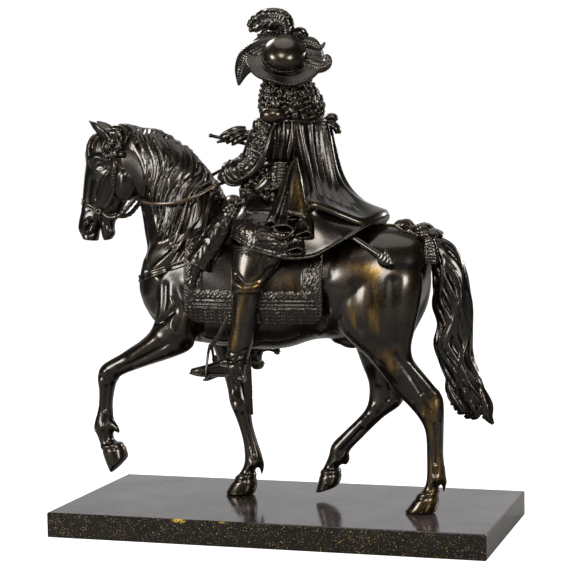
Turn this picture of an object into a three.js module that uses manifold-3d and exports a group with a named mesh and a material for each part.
// Equestrian statuette: a cloaked rider with a plumed hat and a baton on a walking horse, on a slab.
// Millimetres, +Z up. The horse heads towards -X and shows its left side to -Y.
// The origin is the centre of the plinth's underside.
import * as THREE from 'three';
import { mergeVertices } from 'three/addons/utils/BufferGeometryUtils.js';
import Module from 'manifold-3d';

const wasm = await Module();
wasm.setup();

// Sizes that are set by themselves.
const plinthLength = 450;
const plinthWidth = 217;
const plinthThickness = 25.5;
const plinthBevel = 1.5;
const groupHeight = 505; // from the plinth's top to the highest plume
const fitGap = 0.3; // left between neighbouring pieces
const strapThickness = 1.6; // how far bridle and harness straps stand off the horse
const clothThickness = 3.2; // how far the saddle cloth stands off the horse
const reinWidth = 3.4;
const reinThickness = 1.8;
const stirrupBar = 2.6;
const stirrupOpening = 25; // inner width of a stirrup
const leatherWidth = 4.4;
const leatherThickness = 1.8;
const batonDiameter = 3.8;
const batonLength = 46;
const scabbardWidth = 5.6;
const scabbardThickness = 4;
const chapeLength = 19;
const chapeWidth = 13;

// The figures keep their pose and proportions as shares of the group's height: their stations are
// drawn at this height, measured from the plinth's top.
const drawnHeight = 505;
const unit = groupHeight / drawnHeight;
const size = (value) => value * unit;
const at = (x, y, z) => new THREE.Vector3(size(x), size(y), plinthThickness + size(z));
const degrees = (angle) => angle * Math.PI / 180;
const mix = (a, b, t) => a + (b - a) * t;

const left = -1; // the horse's left side, which faces -Y
const right = 1;

const bronze = { color: 0x2a241f, roughness: 0.36, metalness: 0.9 };
const brassBrown = { color: 0x6b5228, roughness: 0.4, metalness: 0.9 };
const stone = { color: 0x3a3733, roughness: 0.3, metalness: 0 };

// Solids from rings, sweeps and outlines.

function solidOf(geometry) {
  geometry.deleteAttribute('normal');
  geometry.deleteAttribute('uv');
  const merged = mergeVertices(geometry, 1e-4);
  const vertProperties = new Float32Array(merged.attributes.position.array);
  const triVerts = new Uint32Array(merged.index.array);
  return new wasm.Manifold(new wasm.Mesh({ numProp: 3, vertProperties, triVerts }));
}

function signedVolume(points, faces) {
  const volume = (a, b, c) => points[a].dot(points[b].clone().cross(points[c])) / 6;
  return faces.reduce((sum, [a, b, c]) => sum + volume(a, b, c), 0);
}

function closed(points, faces) {
  const outward = signedVolume(points, faces) > 0;
  const turned = outward ? faces : faces.map(([a, b, c]) => [a, c, b]);
  return solidOf(new THREE.BufferGeometry().setFromPoints(points).setIndex(turned.flat()));
}

function middleOf(points) {
  return points.reduce((sum, point) => sum.add(point), new THREE.Vector3()).divideScalar(points.length);
}

// Skins a row of rings that have the same number of points, and closes both ends with a fan.
// startTip and endTip are the fans' middles where an end bulges or is hollow.
function loft(rings, startTip = middleOf(rings[0]), endTip = middleOf(rings.at(-1))) {
  const sides = rings[0].length;
  const points = [...rings.flat(), startTip, endTip];
  const start = points.length - 2;
  const last = (rings.length - 1) * sides;
  const faces = [];
  for (let side = 0; side < sides; side += 1) {
    const next = (side + 1) % sides;
    for (let row = 0; row < last; row += sides) {
      faces.push([row + side, row + next, row + sides + side]);
      faces.push([row + next, row + sides + next, row + sides + side]);
    }
    faces.push([next, side, start]);
    faces.push([last + side, last + next, start + 1]);
  }
  return closed(points, faces);
}

// An oval round a centre, from two half axes; a power over 2 makes it squarer, and flute draws in
// every other point, which gives ridges along a loft.
function oval(centre, halfA, halfB, sides, { power = 2, flute = 0, turn = 0 } = {}) {
  const bend = (value) => Math.sign(value) * Math.abs(value) ** (2 / power);
  return Array.from({ length: sides }, (_, index) => {
    const angle = 2 * Math.PI * (index + turn) / sides;
    const reach = index % 2 ? 1 - flute : 1;
    return centre.clone()
      .addScaledVector(halfA, reach * bend(Math.cos(angle)))
      .addScaledVector(halfB, reach * bend(Math.sin(angle)));
  });
}

// A body drawn side on. Each station is [frontX, frontZ, backX, backZ, halfWidth, middleY].
function bodyLoft(stations, { sides = 10, grow = 0, power = 2 } = {}) {
  return loft(stations.map(([frontX, frontZ, backX, backZ, halfWidth, y]) => {
    const front = at(frontX, y, frontZ);
    const back = at(backX, y, backZ);
    const half = front.clone().sub(back).divideScalar(2);
    half.setLength(half.length() + grow);
    const centre = front.add(back).divideScalar(2);
    return oval(centre, half, new THREE.Vector3(0, size(halfWidth) + grow, 0), sides, { power });
  }));
}

// Level rings, each [x, y, z, halfDepth, halfBreadth, yaw]: yaw turns the chest from the horse's
// heading towards its right side.
function uprightLoft(stations, { sides = 14, power = 2, flute = 0 } = {}) {
  return loft(stations.map(([x, y, z, halfDepth, halfBreadth, yaw]) => {
    const [forward, leftward] = facing(yaw);
    forward.multiplyScalar(size(halfDepth));
    leftward.multiplyScalar(size(halfBreadth));
    return oval(at(x, y, z), forward, leftward, sides, { power, flute });
  }));
}

function facing(yaw) {
  const forward = new THREE.Vector3(-Math.cos(degrees(yaw)), Math.sin(degrees(yaw)), 0);
  return [forward, new THREE.Vector3(0, 0, 1).cross(forward)];
}

// Sweeps an oval along a path. halfSizes gives [across, outward] for 0..1 along the path, and
// outward is the direction that the flat side faces.
function sweep(path, outward, halfSizes, { sides = 6, power = 2, turn = 0 } = {}) {
  return loft(path.map((point, index) => {
    const before = path[Math.max(index - 1, 0)];
    const after = path[Math.min(index + 1, path.length - 1)];
    const along = after.clone().sub(before).normalize();
    const across = along.clone().cross(outward).normalize();
    const out = across.clone().cross(along);
    const [halfAcross, halfOut] = halfSizes(index / (path.length - 1));
    return oval(
      point, across.multiplyScalar(halfAcross), out.multiplyScalar(halfOut), sides, { power, turn },
    );
  }));
}

// A flat strap of an exact rectangular section.
const strapSection = { sides: 4, power: Infinity, turn: 0.5 };

function curvePath(points, count) {
  return new THREE.CatmullRomCurve3(points.map((point) => at(...point))).getPoints(count - 1);
}

function ball(centre, radii, { across = 8, down = 6, turn = null } = {}) {
  const geometry = new THREE.SphereGeometry(1, across, down).scale(...radii);
  if (turn) geometry.applyQuaternion(turn);
  return solidOf(geometry.translate(...centre));
}

// A plate of an outline drawn side on, from one Y to another.
function slab(outline, fromY, toY, grow = 0) {
  const middleX = outline.reduce((sum, [x]) => sum + x, 0) / outline.length;
  const middleZ = outline.reduce((sum, [, z]) => sum + z, 0) / outline.length;
  const points = outline.map(([x, z]) => new THREE.Vector2(
    size(x) + Math.sign(x - middleX) * grow,
    plinthThickness + size(z) + Math.sign(z - middleZ) * grow,
  ));
  const depth = size(toY - fromY) + 2 * grow;
  const geometry = new THREE.ExtrudeGeometry(new THREE.Shape(points), { depth, bevelEnabled: false });
  return solidOf(geometry.rotateX(Math.PI / 2).translate(0, size(toY) + grow, 0));
}

// A band of an even width along a bent line drawn side on.
function bandOutline(line, width) {
  const edge = (offset) => line.map(([x, z], index) => {
    const [x1, z1] = line[Math.max(index - 1, 0)];
    const [x2, z2] = line[Math.min(index + 1, line.length - 1)];
    const length = Math.hypot(x2 - x1, z2 - z1);
    return [x - offset * (z2 - z1) / length, z + offset * (x2 - x1) / length];
  });
  return [...edge(width / 2), ...edge(-width / 2).reverse()];
}

const join = (solids) => solids.reduce((sum, solid) => sum.add(solid));
const cut = (solid, cutters) => cutters.reduce((rest, cutter) => rest.subtract(cutter), solid);

// Plinth.

function roundedSlab(length, width, bottom, top, bevel) {
  const shape = new THREE.Shape([[-1, -1], [1, -1], [1, 1], [-1, 1]].map(([x, y]) =>
    new THREE.Vector2(x * (length / 2 - bevel), y * (width / 2 - bevel))));
  const geometry = new THREE.ExtrudeGeometry(shape, {
    depth: top - bottom - 2 * bevel, bevelThickness: bevel, bevelSize: bevel, bevelSegments: 1,
  });
  return solidOf(geometry.translate(0, 0, bottom + bevel));
}

const plinth = roundedSlab(plinthLength, plinthWidth, 0, plinthThickness, plinthBevel);
const plinthSpace = roundedSlab(
  plinthLength, plinthWidth, -fitGap, plinthThickness + fitGap, plinthBevel,
);

// Horse. The stations run from the tail to the chest, from the withers to the poll, and so on.

const trunkSides = 14;
const neckSides = 11;
const headSides = 9;
const legSides = 7;

const trunkStations = [
  [152, 266, 147, 232, 16, 0],
  [146, 274, 139, 206, 32, 0],
  [133, 279.5, 124, 184, 42, 0],
  [112, 284.5, 104, 172, 48.5, 0],
  [88, 284, 82, 170, 49.5, 0],
  [58, 279, 58, 170.5, 47, 0],
  [28, 273, 30, 169, 46, 0],
  [-2, 270, 0, 160, 47.5, 0],
  [-32, 272, -30, 158, 48, 0],
  [-60, 282, -58, 159, 46.5, 0],
  [-82, 294, -86, 163, 43.5, 0],
  [-104, 297, -112, 167, 40, 0],
  [-122, 288, -134, 177, 36, 0],
  [-138, 274, -149, 192, 29, 0],
  [-151, 256, -159, 214, 17, 0],
];

const neckStations = [
  [-58, 290, -128, 205, 38, 0],
  [-68, 308, -148, 222, 34, 0],
  [-79, 328, -155, 240, 29.5, 0],
  [-92, 345, -151, 258, 25.5, 0],
  [-106, 360, -153.5, 276, 22.5, 0],
  [-123, 372, -155.5, 292, 20.5, 0],
  [-142, 380, -158, 307, 19, 0],
  [-162, 384, -164, 318, 18, 0],
  [-180, 386, -171, 323, 17.5, 0],
];

const headStations = [
  [-176, 387, -160, 346, 13.5, 0],
  [-195, 388, -161.5, 333, 18, 0],
  [-211, 380, -163.5, 325, 19.5, 0],
  [-217.5, 366, -168.5, 320, 19.5, 0],
  [-218.5, 352, -171, 317, 18, 0],
  [-221, 338, -175.5, 309, 15.5, 0],
  [-223, 324, -181, 300, 13, 0],
  [-224.5, 311, -187, 293, 11.8, 0],
  [-226.5, 299, -190, 288, 11.6, 0],
];

const muzzleStations = [
  [-224.5, 305, -198, 297, 10.5, 0],
  [-228, 292, -203, 288, 12.4, 0],
  [-229, 282, -206.5, 279, 12, 0],
  [-224, 271.5, -208.5, 269, 8.8, 0],
];

const lowerJawStations = [
  [-206, 301, -187, 294, 9.6, 0],
  [-204.5, 287, -189.5, 285, 8.4, 0],
  [-203, 276, -189, 277, 8, 0],
  [-201, 269.5, -193, 271, 5.6, 0],
];

const raisedForelegStations = [
  [-128, 236, -92, 222, 9, -31],
  [-130, 205, -90, 192, 15, -30],
  [-137, 181, -91, 169, 17, -29.5],
  [-150, 168, -97, 158.5, 16, -30],
  [-162, 160.5, -117, 150, 13, -30],
  [-173, 153.5, -140, 142.5, 11, -29.5],
  [-194.5, 141, -171, 131.5, 10.2, -28.5],
  [-199.5, 128, -179, 123.5, 9.8, -28],
  [-198.5, 114, -182.5, 113, 7.8, -28],
  [-200, 96, -184.5, 97, 6.8, -28],
  [-205.5, 76, -183, 78, 9, -28],
  [-202, 67, -184.5, 68, 7.6, -28],
  [-198.5, 58, -182, 61.5, 8.4, -28],
  [-197, 53, -172.5, 58.5, 11.5, -28],
  [-193, 41, -169.5, 50, 12.6, -28],
  [-187, 27, -168.5, 46, 12.8, -28],
];

const standingForelegStations = [
  [-125, 236, -80, 222, 9, 31],
  [-122, 208, -66, 194, 15, 30],
  [-104, 182, -54, 174, 16, 30],
  [-92, 157, -54, 152, 13.4, 29.5],
  [-81.5, 131, -56, 129, 11, 28.5],
  [-76, 113, -53, 111, 9.8, 27.5],
  [-73, 97, -50, 97, 10.2, 26.5],
  [-65, 78, -49.5, 80, 8, 25.5],
  [-59.5, 60, -45, 62, 6.8, 25],
  [-57.5, 45, -39.5, 46, 7.6, 25],
  [-58, 33, -37.5, 35, 8.8, 25],
  [-62.5, 24, -46, 27, 7.8, 25],
  [-69, 16.5, -45, 19.5, 11.6, 25],
  [-75, 8, -44.5, 9.5, 13, 25],
  [-79.5, -1, -48, -1, 13.6, 25],
];

const standingHindStations = [
  [78, 270, 134, 266, 14, -22],
  [64, 240, 147, 238, 22, -26],
  [57, 208, 145, 207, 24.5, -28],
  [63, 184, 140, 184, 21.5, -28.5],
  [76, 169, 136, 166, 17.5, -28],
  [90, 156, 138, 153, 14, -27],
  [105, 138.5, 147.5, 140.5, 11, -26],
  [119, 119.5, 160, 126, 9.4, -25.5],
  [131.5, 107.5, 166.5, 117, 9.4, -25],
  [143, 94, 168, 104, 9.4, -25],
  [149, 80, 167.5, 86, 8.4, -25],
  [150, 54, 167, 57, 7.4, -25],
  [149.5, 34, 169, 38, 9, -25],
  [146, 24, 162.5, 28, 8.2, -25],
  [138, 16, 162, 19, 11.6, -25],
  [132.5, 8, 161.5, 10, 13, -25],
  [126, -1, 158, -1, 13.8, -25],
];

const raisedHindStations = [
  [76, 270, 132, 266, 14, 22],
  [60, 240, 144, 238, 22, 26],
  [53, 208, 141, 206, 24.5, 28],
  [55, 184, 129, 180, 21.5, 28.5],
  [63, 163, 117, 159, 17, 28],
  [71, 141, 112, 140, 13, 27],
  [77.5, 124, 113, 123, 10.4, 26.5],
  [78.5, 110, 115.5, 110, 9.6, 26],
  [75.5, 97, 111, 99, 9.6, 26],
  [67.5, 86.5, 93, 86, 8.6, 26],
  [51.5, 71, 71.5, 65, 7.4, 26],
  [38, 57, 57, 50, 9, 26],
  [34.5, 45, 54, 40, 8.8, 26],
  [29, 33, 44.5, 33, 7.8, 26],
  [25, 26, 48, 28.5, 11.4, 26],
  [22.5, 15, 46.5, 18, 12.6, 26],
  [19.5, 5, 41, 11.5, 12.8, 26],
];

// The tuft behind each fetlock: its root and its tip.
const fetlockTufts = [
  [[-186, -28, 79], [-178.5, -28, 71]],
  [[-44, 25, 40], [-39, 25, 22]],
  [[162, -25, 42], [166.5, -25, 22]],
  [[52, 26, 47], [52.5, 26, 36]],
];

function fetlockTuft([root, tip], grow) {
  const halfSizes = (t) => [size(mix(4.2, 1.6, t)) + grow, size(mix(4.6, 2.2, t)) + grow];
  return sweep([at(...root), at(...tip)], new THREE.Vector3(1, 0, 0), halfSizes, { sides: 5 });
}

// The neck's section at a station, which may lie between two: its centre, the half axis to the crest
// and the half width.
function neckSection(station) {
  const index = Math.min(Math.max(Math.floor(station), 0), neckStations.length - 2);
  const values = neckStations[index].map((value, column) =>
    mix(value, neckStations[index + 1][column], station - index));
  const [crestX, crestZ, throatX, throatZ, halfWidth] = values;
  const crest = at(crestX, 0, crestZ);
  const throat = at(throatX, 0, throatZ);
  const centre = crest.clone().add(throat).divideScalar(2);
  return { centre, half: crest.sub(throat).divideScalar(2), halfWidth: size(halfWidth) };
}

// A point on the left side of the neck. The angle goes from the crest at 0 to the underside at 180,
// and lift is the height over the skin.
function onNeck(station, angle, lift) {
  const { centre, half, halfWidth } = neckSection(station);
  return centre
    .addScaledVector(half.setLength(half.length() + lift), Math.cos(degrees(angle)))
    .add(new THREE.Vector3(0, -(halfWidth + lift) * Math.sin(degrees(angle)), 0));
}

const maneRidges = 10;
const maneRows = 6;

// The mane falls over the left side in locks. Each ring of the loft is one lock or one groove,
// closed through the middle of the neck.
function mane(grow) {
  const rings = Array.from({ length: 2 * maneRidges + 1 }, (_, index) => {
    const share = index / (2 * maneRidges);
    const root = mix(7.8, 1.8, share);
    const fall = mix(3, 1.8, share) + 0.2 * Math.sin(index * 1.3);
    const reach = mix(106, 90, share) + 12 * Math.sin(index * 1.9);
    const ridge = index % 2 ? 2.2 : 0;
    const lock = Array.from({ length: maneRows }, (__, row) => {
      const t = row / (maneRows - 1);
      const wave = Math.sin(2 * Math.PI * (1.2 * t + share));
      const lift = size(1 + (2.2 + ridge) * (1 - 0.55 * t)) + grow;
      return onNeck(root - fall * t + 0.14 * wave, -24 + (reach + 24) * t, lift);
    });
    return [...lock, neckSection(root - fall / 2).centre];
  });
  return loft(rings);
}

// The tail is drawn by its outer and its inner edge: [outerX, outerZ, innerX, innerZ, halfWidth].
const tailStations = [
  [147, 276, 143, 258, 8],
  [161, 272.5, 151, 249, 10],
  [175, 263, 153, 236, 12],
  [185, 243, 153, 222, 13.5],
  [190.5, 217, 152.5, 205, 14],
  [191.5, 193, 157, 187, 13],
  [191, 170, 153.5, 168, 13.5],
  [193, 152, 158, 150, 14],
  [200, 134, 164, 132, 13.5],
  [208, 115, 168, 113, 12],
  [207, 102, 172, 99, 9],
];
const tailRidges = 6;

// The tail's loose tips: [[x, y, z], ...] from inside the tail to the end, with the first half width.
const tailTips = [
  [[[195, -3, 122], [202, -4, 103], [207, -5, 86]], 8],
  [[[179, 3, 118], [181, 4, 102], [187, 5, 92]], 8],
];

function tail(grow) {
  const body = loft(tailStations.map(([outerX, outerZ, innerX, innerZ, halfWidth], row) => {
    const outer = at(outerX, 0, outerZ);
    const inner = at(innerX, 0, innerZ);
    const half = outer.clone().sub(inner).divideScalar(2);
    half.setLength(half.length() + grow);
    const side = new THREE.Vector3(0, size(halfWidth) + grow, 0);
    const turn = 0.5 * Math.sin(row * 1.1);
    return oval(outer.add(inner).divideScalar(2), half, side, 2 * tailRidges, { flute: 0.14, turn });
  }));
  const tips = tailTips.map(([points, halfWidth]) => sweep(
    points.map((point) => at(...point)), new THREE.Vector3(0, -1, 0),
    (t) => [size(mix(halfWidth, 4.6, t)) + grow, size(mix(halfWidth, 2, t)) + grow], { sides: 5 },
  ));
  return [body, ...tips];
}

function ears(grow) {
  return [left, right].map((side) => {
    const path = curvePath([[-196, 9 * side, 376], [-203, 10.5 * side, 387], [-212, 11 * side, 396]], 5);
    const halfSizes = (t) => {
      const wide = 6.6 * Math.sin(Math.PI * (0.3 + 0.64 * t)) ** 0.8;
      return [size(wide) + grow, size(0.6 * wide) + grow];
    };
    return sweep(path, new THREE.Vector3(-0.6, 0.35 * side, -0.6), halfSizes, { sides: 5 });
  });
}

function forelock(grow) {
  const path = curvePath([[-190, 0, 385], [-203, 0, 381], [-212.5, 0, 370], [-215, 0, 354]], 4);
  const halfSizes = (t) => [size(mix(9, 3, t)) + grow, size(mix(3.6, 1.6, t)) + grow];
  return sweep(path, new THREE.Vector3(-0.7, 0, 0.7), halfSizes);
}

// Cheek, eye and nostril as soft swellings on both sides, each with its number of faces round it:
// [x, y, z, radiusX, radiusY, radiusZ, around].
const swellings = [
  [-182, 12.5, 335, 17, 8, 16, 7],
  [-206, 14.6, 355, 6, 4.4, 4.4, 6],
  [-222.5, 9.2, 286, 4.6, 4.4, 6.4, 6],
];

function swelling([x, y, z, radiusX, radiusY, radiusZ, around], grow) {
  return [left, right].map((side) => ball(
    at(x, y * side, z),
    [radiusX, radiusY, radiusZ].map((radius) => size(radius) + grow),
    { across: around, down: around - 2 },
  ));
}

// Bridle straps drawn side on as bent lines, with their widths.
const bridleStraps = [
  [[[-236, 315], [-180, 295]], 4],
  [[[-191, 362], [-201, 304]], 3],
];

function bridle(headForms, grow) {
  const straps = bridleStraps.map(([line, width]) =>
    slab(bandOutline(line, width), -26, 26, grow));
  return join(headForms).intersect(join(straps));
}

// A round boss that faces sideways.
function boss([x, y, z, radius], side, grow) {
  const middle = at(x, y * side, z);
  const half = new THREE.Vector3(0, size(2.2) + grow, 0);
  return sweep(
    [middle.clone().sub(half), middle.add(half)], new THREE.Vector3(0, 0, 1),
    () => [size(radius) + grow, size(radius) + grow], { sides: 6 },
  );
}

// The curb bit's branch on one side, which bends back and up to the rein, and the bosses on the bit
// and the brow.
const branchPath = [
  [-200, 11.5, 301], [-189, 13, 294.5], [-177, 13, 297], [-168.5, 12.5, 305], [-160.5, 12.5, 313.5],
];
const bosses = [[-201, 11.6, 300.5, 4.2], [-190, 17.4, 365, 5]];

function bitAndRosettes(side, grow) {
  const branch = sweep(
    curvePath(branchPath.map(([x, y, z]) => [x, y * side, z]), 6),
    new THREE.Vector3(0, side, 0),
    (t) => [size(mix(1.6, 3.1, Math.min(1, 2 * t))) + grow, size(1.9) + grow],
    { sides: 5 },
  );
  return [branch, ...bosses.map((values) => boss(values, side, grow))];
}

// Saddle cloth, side on: a long rectangle with rounded lower corners.
const clothFront = -96;
const clothBack = 51;
const clothBottom = 188;
const clothTop = 330;
const cornerRadius = 14;

function clothOutline() {
  const corner = clothBottom + cornerRadius;
  const arc = (x, from) => [0, 1, 2].map((step) => {
    const angle = degrees(from + step * 45);
    return [x + cornerRadius * Math.cos(angle), corner + cornerRadius * Math.sin(angle)];
  });
  return [
    [clothFront, clothTop], ...arc(clothFront + cornerRadius, 180),
    ...arc(clothBack - cornerRadius, 270), [clothBack, clothTop],
  ];
}

function saddleCloth(grow) {
  const wrap = bodyLoft(trunkStations, { sides: trunkSides, grow: clothThickness + grow, power: 2.1 });
  return wrap.intersect(slab(clothOutline(), -60, 60, grow));
}

function saddle(grow) {
  return bodyLoft([
    [-70, 300, -64, 262, 14, 0],
    [-64, 314, -56, 258, 19, 0],
    [-50, 315, -47, 257, 22, 0],
    [-40, 298, -38, 256, 27, 0],
    [-10, 286, -10, 255, 35, 0],
    [30, 296, 28, 260, 30, 0],
  ], { sides: 9, grow });
}

// A pistol holster: its rings at the top, the wide cover, the barrel and the ball at its end.
// Each pair is the share of the holster's length and the radius there.
const holsterProfile = [
  [0, 5], [0.07, 9], [0.2, 10], [0.5, 12], [0.74, 13.8], [0.77, 6.4], [0.9, 4], [0.98, 5.2],
  [1.04, 2.2],
];

function holster(side, grow) {
  const top = at(-43, 39 * side, 302);
  const bottom = at(-91, 47 * side, 225);
  const along = bottom.clone().sub(top).normalize();
  const outward = new THREE.Vector3(0, side, 0);
  const across = along.clone().cross(outward).normalize();
  return loft(holsterProfile.map(([share, radius]) => oval(
    top.clone().lerp(bottom, share),
    across.clone().multiplyScalar(size(radius) + grow),
    outward.clone().multiplyScalar(size(radius * 0.74) + grow),
    7,
  )));
}

const breastStrap = [[-172, 226], [-140, 241], [-88, 252]];
const breastStrapWidth = 8;

// The crupper's bow on the croup: each loop's middle and radius.
const bow = [
  [127, -9, 283.5, 7.6], [127, 9, 283.5, 7.6], [142, -8.5, 277, 7.6], [142, 8.5, 277, 7.6],
  [154, 0, 274.5, 7],
];

// The breast strap, the crupper, and its bow with the tassel that hangs from it.
function harness(grow) {
  const skin = [
    bodyLoft(trunkStations, { sides: trunkSides, grow: strapThickness + grow, power: 2.1 }),
    bodyLoft(neckStations, { sides: neckSides, grow: strapThickness + grow }),
  ];
  const strap = slab(bandOutline(breastStrap, breastStrapWidth), -60, 60, grow);
  const crupper = sweep(
    [at(40, 0, 268), at(78, 0, 278.5), at(122, 0, 281)],
    new THREE.Vector3(0, 0, 1),
    () => [size(4) + grow, size(3) + grow], strapSection,
  );
  const loops = bow.map(([x, y, z, radius]) => ball(
    at(x, y, z), [radius, radius, 5.5].map((value) => size(value) + grow), { across: 6, down: 4 },
  ));
  const tassel = sweep(
    [at(142, -8, 276), at(147, -13, 262), at(148, -14, 247)],
    new THREE.Vector3(0, -1, 0),
    (t) => [size(mix(4, 7, t)) + grow, size(3.4) + grow], { sides: 5 },
  );
  return [join(skin).intersect(strap), crupper, ...loops, tassel];
}

// The whole horse, and the same horse grown all round by a clearance, as the space it takes.
function horse(grow) {
  const trunk = bodyLoft(trunkStations, { sides: trunkSides, grow, power: 2.1 });
  const neck = bodyLoft(neckStations, { sides: neckSides, grow });
  const head = [headStations, muzzleStations, lowerJawStations];
  const headForms = head.map((stations) => bodyLoft(stations, { sides: headSides, grow }));
  const strapForms = head.map((stations) =>
    bodyLoft(stations, { sides: headSides, grow: grow + strapThickness }));
  const legs = [
    raisedForelegStations, standingForelegStations, standingHindStations, raisedHindStations,
  ].map((stations) => bodyLoft(stations, { sides: legSides, grow, power: 2.1 }));
  return join([
    trunk, neck, ...headForms, ...legs,
    ...fetlockTufts.map((tuft) => fetlockTuft(tuft, grow)),
    ...swellings.flatMap((values) => swelling(values, grow)),
    ...ears(grow), forelock(grow), mane(grow), ...tail(grow),
    bridle(strapForms, grow), ...bitAndRosettes(left, grow), ...bitAndRosettes(right, grow),
    saddleCloth(grow), saddle(grow), holster(left, grow), holster(right, grow),
    ...harness(grow),
  ]);
}

// Rider. The pelvis faces the horse's heading; chest and head turn towards the horse's right side.

const chestYaw = 50;
const headYaw = 72;

const torsoStations = [
  [4, 0, 264, 32, 40, 0],
  [-1, 0, 290, 31, 36, 6],
  [-5, 0, 312, 28, 29, 18],
  [-3, 0, 322, 23, 25.5, 25],
  [-2, 0, 327, 26, 29, 28],
  [-2, 0, 340, 24.5, 28.5, 36],
  [0, 0, 345, 20.5, 26, 40],
  [4, 0, 370, 21, 34, chestYaw],
  [5, 0, 385, 19.5, 35, chestYaw],
  [5, 1, 396, 14.5, 23, chestYaw],
  [4, 3, 404, 11, 12, headYaw],
  [3, 4, 416, 10.5, 10.5, headYaw],
];

const skirtStations = [
  [-3, 0, 325, 23.5, 27, 18],
  [-3, 0, 310, 30, 31.5, 8],
  [0, 0, 296, 37, 39, 0],
  [4, 0, 280, 44, 47, 0],
  [8, 0, 257, 49, 53.5, 0],
];

function skirt() {
  return uprightLoft(skirtStations, { sides: 12, power: 2.3 });
}

function headAndNeck() {
  const [forward] = facing(headYaw);
  const centre = at(1, 7, 431);
  const skull = uprightLoft([
    [-1.5, 12, 405, 7, 7, headYaw],
    [-0.5, 10, 411, 13.5, 12, headYaw],
    [0, 8.5, 420, 17, 14.4, headYaw],
    [0.5, 7.5, 431, 18.4, 15.4, headYaw],
    [1, 7, 441, 18.6, 15.6, headYaw],
    [1, 6, 452, 12, 11, headYaw],
  ], { sides: 10 });
  const nose = sweep(
    [[16.5, 9], [20.4, 1], [22.4, -6], [18.5, -8.5]].map(([out, up]) =>
      centre.clone().addScaledVector(forward, size(out)).add(new THREE.Vector3(0, 0, size(up)))),
    forward,
    (t) => [size(mix(1.6, 3.2, t)), size(2.4)],
  );
  return [skull, nose];
}

// Hair: a full mass of locks behind the face, down to the shoulders.
const hairStations = [
  [4, -3, 447, 14, 15, chestYaw],
  [5, -5, 438, 18.5, 23, chestYaw - 6],
  [6, -6, 428, 22, 28.5, chestYaw],
  [8, -6, 417, 24, 34.5, chestYaw + 5],
  [10, -6, 405, 23.5, 37.5, chestYaw],
  [10, -4, 394, 19, 33, chestYaw - 5],
];
const hairRidges = 10;

function hair() {
  return uprightLoft(hairStations, { sides: 2 * hairRidges, flute: 0.13 });
}

// Hat: a broad brim tipped back, a low round crown, two plumes, a ribbon and two curled feathers.
const hatTilt = 42;
const brimRadius = 39.5;
const brimSides = 16;

function hatFrame() {
  const [back] = facing(headYaw + 180);
  const up = new THREE.Vector3(0, 0, Math.cos(degrees(hatTilt)))
    .addScaledVector(back, Math.sin(degrees(hatTilt)));
  return new THREE.Quaternion().setFromUnitVectors(new THREE.Vector3(0, 0, 1), up);
}

function hat() {
  const turn = hatFrame();
  const middle = at(3, -8, 455);
  const place = (x, y, z) => new THREE.Vector3(size(x), size(y), size(z)).applyQuaternion(turn).add(middle);
  const brimRing = (radius, height, wave) => Array.from({ length: brimSides }, (_, index) => {
    const angle = 2 * Math.PI * index / brimSides;
    const lift = height + wave * Math.sin(3 * angle + 0.8);
    return place(radius * Math.cos(angle), radius * Math.sin(angle), lift);
  });
  const brim = loft([
    brimRing(16, -2.2, 0), brimRing(brimRadius, 0.8, 2), brimRing(brimRadius - 2, 2.8, 1.8),
    brimRing(18, 1, 0),
  ]);
  const crown = ball(place(0, 0, 3), [20.5, 20.5, 12.5].map(size), { across: 10, down: 6, turn });
  return [brim, crown];
}

// Plumes and ribbons: the path's points, then the half width and half thickness at root, middle and tip.
const plumes = [
  [[[2, 13, 470], [-1, 13, 484], [-10, 12, 494], [-22, 11, 495], [-34, 9, 489]], [7, 13.5, 8], [6, 10, 5]],
  [[[-14, 2, 463], [-27, -2, 460], [-39, -5, 450], [-45, -6, 430]], [8, 9, 3], [4, 5, 2.6]],
  [[[8, 4, 462], [17, 5, 474], [20, 5, 482]], [5, 6, 4], [4, 4, 3]],
  [[[14, -2, 462], [28, -4, 466], [38, -4, 463.5], [45, -4, 469]], [6, 6.4, 1.6], [3, 3.6, 1.6]],
  [[[16, -6, 446], [34, -8, 444], [45, -8, 447], [49, -8, 454]], [6, 7, 2.4], [3, 4, 2]],
];

function plume([points, widths, thicknesses]) {
  const along = (values, t) => (t < 0.5
    ? mix(values[0], values[1], t * 2)
    : mix(values[1], values[2], t * 2 - 1));
  const halfSizes = (t) => [size(along(widths, t)), size(along(thicknesses, t))];
  return sweep(curvePath(points, 6), new THREE.Vector3(0, -1, 0.2), halfSizes, { sides: 4 });
}

// Cloak: it hangs from the back and the right shoulder and spreads over the horse's croup.
const cloakHem = [
  [-7, -44, 292], [8, -51, 277], [30, -53, 264], [52, -47, 264], [68, -39, 273], [80, -29, 286],
  [89, -14, 299], [95, 5, 303], [91, 25, 296], [80, 38, 282], [62, 48, 268], [40, 53, 264],
  [16, 53, 268], [2, 50, 280],
];
const cloakFolds = 9;
const columnsPerFold = 3;
const cloakRows = [0, 0.3, 0.58, 0.78, 0.91, 1]; // shares of the way from the yoke to the hem
const hemDrop = 9; // how far the hem's edge turns down
const yokeStart = 72; // degrees round the shoulders, from the left shoulder over the back
const yokeEnd = 216;

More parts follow.
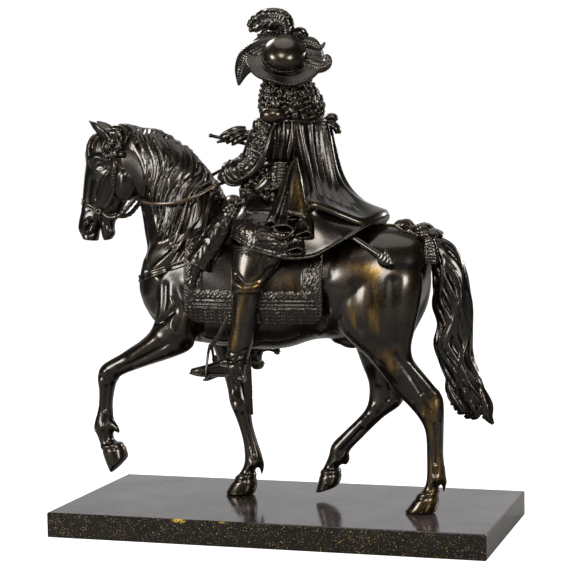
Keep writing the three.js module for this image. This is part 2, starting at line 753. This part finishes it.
function cloak() {
  const hem = new THREE.CatmullRomCurve3(cloakHem.map((point) => at(...point)));
  const [forward, leftward] = facing(chestYaw);
  const lastColumn = cloakFolds * columnsPerFold;
  const column = (index) => {
    const share = index / lastColumn;
    const angle = degrees(mix(yokeStart, yokeEnd, share));
    const top = at(8, 2, mix(389, 386, share))
      .addScaledVector(leftward, size(42) * Math.cos(angle))
      .addScaledVector(forward, -size(22) * Math.sin(angle));
    const bottom = hem.getPoint(share);
    const behind = Math.sin(Math.PI * share) ** 2;
    const fold = Math.cos(2 * Math.PI * cloakFolds * share);
    const away = (point) => point.clone().sub(at(12, 2, 0)).setZ(0).normalize();
    const fall = cloakRows.map((t) => {
      const out = mix(t ** 1.5, 0.25 * t + 0.75 * t ** 8, behind);
      const point = top.clone().lerp(bottom, out).setZ(mix(top.z, bottom.z, t));
      return point.addScaledVector(away(point), size(mix(0.8, 3.4, t) * fold));
    });
    const edge = fall.at(-1).clone();
    edge.addScaledVector(away(edge), size(3)).add(new THREE.Vector3(0, 0, -size(hemDrop)));
    return [...fall, edge];
  };
  const columns = Array.from({ length: lastColumn + 1 }, (_, index) => column(index));
  const rings = columns[0].map((_, row) => {
    const ring = columns.map((points) => points[row]);
    return [...ring, at(-2, 0, 0).setZ(middleOf(ring).z)];
  });
  return loft(rings, at(8, 2, 388), at(30, 0, 290));
}

function cloakCollar() {
  const [forward, leftward] = facing(chestYaw);
  const path = Array.from({ length: 7 }, (_, index) => {
    const angle = degrees(mix(-20, 225, index / 6));
    return at(7, 2, 391)
      .addScaledVector(leftward, size(34) * Math.cos(angle))
      .addScaledVector(forward, -size(18) * Math.sin(angle));
  });
  return sweep(path, new THREE.Vector3(0, 0, 1), () => [size(5.4), size(4.6)], { sides: 4 });
}

// The knots of ribbon at the right shoulder.
function shoulderKnots() {
  return [[39, 26, 395, 6.8], [43, 28, 384, 6.8]].map(([x, y, z, radius]) =>
    ball(at(x, y, z), [radius, radius, radius * 0.9].map(size), { across: 6, down: 4 }));
}

// A limb of round sections through points, with a radius at each.
function limb(points, radii, { sides = 6, outward = new THREE.Vector3(0, -1, 0.1) } = {}) {
  const places = points.map((point) => at(...point));
  return sweep(places, outward, (t) => {
    const index = Math.round(t * (radii.length - 1));
    return [size(radii[index]), size(radii[index])];
  }, { sides });
}

// The left arm holds the reins: a puffed sleeve, the forearm in its wide cuff, the hand and the lace.
function leftArm() {
  const level = { outward: new THREE.Vector3(0, 0, 1) };
  const sleeve = limb(
    [[-12, -19, 392], [-18, -26, 382], [-18, -29, 367], [-17, -31, 354], [-13, -32, 344]],
    [7, 12, 12, 11, 9],
  );
  const forearm = limb(
    [[-8, -33, 345], [-22, -31, 340.5], [-38, -26, 340], [-47, -22, 340]], [9, 12, 14.4, 14.6], level,
  );
  const hand = limb([[-42, -20, 338], [-52, -15, 335], [-58, -10, 331]], [8, 8, 5], level);
  const lace = limb([[-34, -24, 334], [-36, -24, 322], [-42, -22, 309]], [15, 13, 8]);
  return [sleeve, forearm, hand, lace];
}

// The right arm reaches forward with the baton.
function rightArm() {
  const level = { outward: new THREE.Vector3(0, 0, 1) };
  const sleeve = limb(
    [[24, 18, 388], [24, 27, 382], [10, 35, 376], [-10, 38, 374], [-36, 35, 375]],
    [8, 12, 11.5, 10.5, 10.5], level,
  );
  const hand = limb(
    [[-34, 34, 376], [-52, 31, 376], [-64, 29.5, 375], [-74, 29, 373]], [8, 8.6, 8, 4], level,
  );
  return [sleeve, hand];
}

// A leg: thigh, wide boot top, shaft, foot with its heel, spur. The right foot is further forward.
const bootStations = [
  [-14, 50, 266, 29, 16.5], [-17, 51.5, 252, 25.5, 16], [-22, 52, 238, 19.5, 14.6],
  [-26, 52, 221, 15.8, 13.6],
];
const shaftStations = [
  [-26, 52, 230, 13.4, 12], [-26.5, 52, 214, 14.4, 12.6], [-29, 52.5, 196, 13.4, 12],
  [-33, 52.5, 172, 12.6, 11.4], [-38, 52, 154, 12.4, 10.6], [-40, 52, 138, 10, 8.6],
  [-39, 52, 132.5, 8, 7.4],
];
const footStations = [
  [-32, 149, -31, 134, 7.6, 52],
  [-44, 155, -44, 134.5, 9, 52],
  [-56, 152, -56, 136, 9, 53],
  [-68, 148.5, -68, 136, 9.4, 54],
  [-77, 146, -77, 137, 8.4, 55],
  [-83, 144, -83, 139, 5, 56],
];
const footAdvance = { [left]: 0, [right]: -16 };

function riderLeg(side) {
  const y = (value) => value * side;
  const ahead = (z) => footAdvance[side] * Math.min(1, Math.max(0, (230 - z) / 80));
  const level = (stations, sides) => uprightLoft(stations.map(([x, outY, z, depth, breadth]) =>
    [x + ahead(z), y(outY), z, depth, breadth, 0]), { sides });
  const thigh = limb(
    [[12, y(24), 288], [-4, y(38), 272], [-20, y(49), 254], [-27, y(52), 236]],
    [22, 20, 17, 13],
  );
  const step = footAdvance[side];
  const foot = bodyLoft(footStations.map(([topX, topZ, soleX, soleZ, halfWidth, outY]) =>
    [topX + step, topZ, soleX + step, soleZ, halfWidth, y(outY)]), { sides: 7 });
  const spurNeck = sweep(
    [at(-30 + step, y(52), 149), at(-15 + step, y(52), 149)],
    new THREE.Vector3(0, 0, 1), () => [size(1.8), size(1.8)], { sides: 4 },
  );
  const rowel = ball(
    at(-13.5 + step, y(52), 149.5), [4.6, 1.6, 4.6].map(size), { across: 6, down: 4 },
  );
  return [thigh, level(bootStations, 8), level(shaftStations, 7), foot, spurNeck, rowel];
}

function rider(cutters) {
  const forms = join([
    uprightLoft(torsoStations, { sides: 10 }), skirt(), ...headAndNeck(), hair(), ...hat(),
    ...plumes.map(plume), cloak(), cloakCollar(), ...shoulderKnots(), ...leftArm(), ...rightArm(),
    ...riderLeg(left), ...riderLeg(right),
  ]);
  return cut(forms, cutters);
}

// Baton, scabbard, reins and stirrups.

const batonTip = [-92, 29.5, 378.5];
const batonRear = [-60, 30, 371];

function baton(grow) {
  const start = at(...batonTip);
  const along = at(...batonRear).sub(start).normalize();
  const end = start.clone().addScaledVector(along, batonLength + grow);
  start.addScaledVector(along, -grow);
  const radius = batonDiameter / 2 + grow;
  return sweep([start, end], new THREE.Vector3(0, 0, 1), () => [radius, radius], { sides: 8 });
}

const scabbardStart = [54, -34, 291];
const scabbardEnd = [111, -50, 258];

function scabbard(grow) {
  const start = at(...scabbardStart);
  const end = at(...scabbardEnd);
  const along = end.clone().sub(start).normalize();
  const outward = new THREE.Vector3(0, -1, 0);
  const tube = sweep(
    [start.clone().addScaledVector(along, -grow), end.clone().addScaledVector(along, 2)],
    outward,
    () => [scabbardWidth / 2 + grow, scabbardThickness / 2 + grow],
    { sides: 8 },
  );
  const leaf = [0, 0.2, 0.45, 0.75, 1].map((t) =>
    end.clone().addScaledVector(along, (t - 0.1) * chapeLength));
  const chape = sweep(leaf, outward, (t) => [
    chapeWidth / 2 * Math.sin(Math.PI * (0.16 + 0.78 * t)) + grow,
    scabbardThickness / 2 * (1.3 - 0.6 * t) + grow,
  ], { sides: 8 });
  return tube.add(chape);
}

// Each rein runs from the bit's branch back along the neck to the left hand.
const leftReinLine = [
  [-159, -16, 314.5], [-148, -26, 312], [-136, -31, 309.5], [-122, -35, 309], [-104, -37, 310.5],
  [-86, -35, 316], [-70, -24, 325.5], [-58, -15, 331],
];
const rightReinLine = [
  [-159, 16, 314.5], [-148, 25, 314], [-128, 29, 320], [-106, 28, 328], [-86, 20, 337],
  [-70, 5, 342], [-58, -8, 341],
];

function rein(line, grow) {
  return sweep(curvePath(line, 16), new THREE.Vector3(0, -1, 0), () =>
    [reinWidth / 2 + grow, reinThickness / 2 + grow], strapSection);
}

// A stirrup hangs on its leather: an arch round the foot, with a flat tread under the sole.
function stirrup(side, grow) {
  const y = 54 * side;
  const half = stirrupOpening / 2;
  const tread = at(-66 + footAdvance[side], y, 133.6);
  const top = at(-65 + footAdvance[side], y, 166);
  const place = (across, up) => tread.clone().lerp(top, up).add(new THREE.Vector3(0, across, 0));
  const arch = Array.from({ length: 9 }, (_, index) => {
    const angle = Math.PI * index / 8;
    return place(half * Math.cos(angle) * (1 - 0.25 * Math.sin(angle)), Math.sin(angle) ** 0.8);
  });
  const bar = stirrupBar / 2 + grow;
  const heading = new THREE.Vector3(-1, 0, 0);
  const hoop = sweep(arch, heading, () => [bar, bar], { sides: 5 });
  const foot = sweep(
    [place(-half - 1, 0), place(half + 1, 0)], heading, () => [bar, 2.6 * bar], { sides: 6 },
  );
  const leather = sweep(
    [top.clone().add(new THREE.Vector3(0, 0, -1)), at(-55 + footAdvance[side] / 2, 56 * side, 178),
      at(-45, 56.4 * side, 196)],
    new THREE.Vector3(0, side, 0),
    () => [leatherWidth / 2 + grow, leatherThickness / 2 + grow],
    strapSection,
  );
  return join([hoop, foot, leather]);
}

// Putting the group together. Every neighbour is cut by the other piece with its clearance.

const horseSolid = cut(horse(0), [plinthSpace]);
const horseSpace = horse(fitGap);
const stirrups = { left_stirrup: stirrup(left, 0), right_stirrup: stirrup(right, 0) };
const reins = { left_rein: rein(leftReinLine, 0), right_rein: rein(rightReinLine, 0) };
const spaces = [
  horseSpace, baton(fitGap), scabbard(fitGap), rein(leftReinLine, fitGap), rein(rightReinLine, fitGap),
  stirrup(left, fitGap), stirrup(right, fitGap),
];

const statuette = new THREE.Group();

// A solid's faces without the sealed pockets that crossing locks and folds enclose.
function skinOf(solid) {
  const { vertProperties, triVerts } = solid.getMesh();
  const parent = Array.from({ length: vertProperties.length / 3 }, (_, index) => index);
  const shellOf = (vertex) => {
    let top = vertex;
    while (parent[top] !== top) top = parent[top];
    parent[vertex] = top;
    return top;
  };
  const faces = Array.from({ length: triVerts.length / 3 }, (_, index) =>
    Array.from(triVerts.subarray(3 * index, 3 * index + 3)));
  for (const [a, b, c] of faces) {
    parent[shellOf(b)] = shellOf(a);
    parent[shellOf(c)] = shellOf(a);
  }
  const points = parent.map((_, index) =>
    new THREE.Vector3(...vertProperties.subarray(3 * index, 3 * index + 3)));
  const volumes = new Map();
  for (const face of faces) {
    const shell = shellOf(face[0]);
    volumes.set(shell, (volumes.get(shell) ?? 0) + signedVolume(points, [face]));
  }
  const kept = faces.filter(([a]) => volumes.get(shellOf(a)) > 0);
  return new THREE.BufferGeometry().setFromPoints(points).setIndex(kept.flat());
}

function add(name, solid, material) {
  const geometry = skinOf(solid);
  geometry.computeVertexNormals();
  const mesh = new THREE.Mesh(geometry, new THREE.MeshStandardMaterial(material));
  mesh.name = name;
  statuette.add(mesh);
}

add('plinth', plinth, stone);
add('horse', horseSolid, bronze);
add('rider', rider(spaces), bronze);
add('baton', baton(0), bronze);
add('scabbard', cut(scabbard(0), [horseSpace]), bronze);
for (const [name, solid] of Object.entries(reins)) add(name, cut(solid, [horseSpace]), brassBrown);
for (const [name, solid] of Object.entries(stirrups)) add(name, cut(solid, [horseSpace]), bronze);

export default statuette;
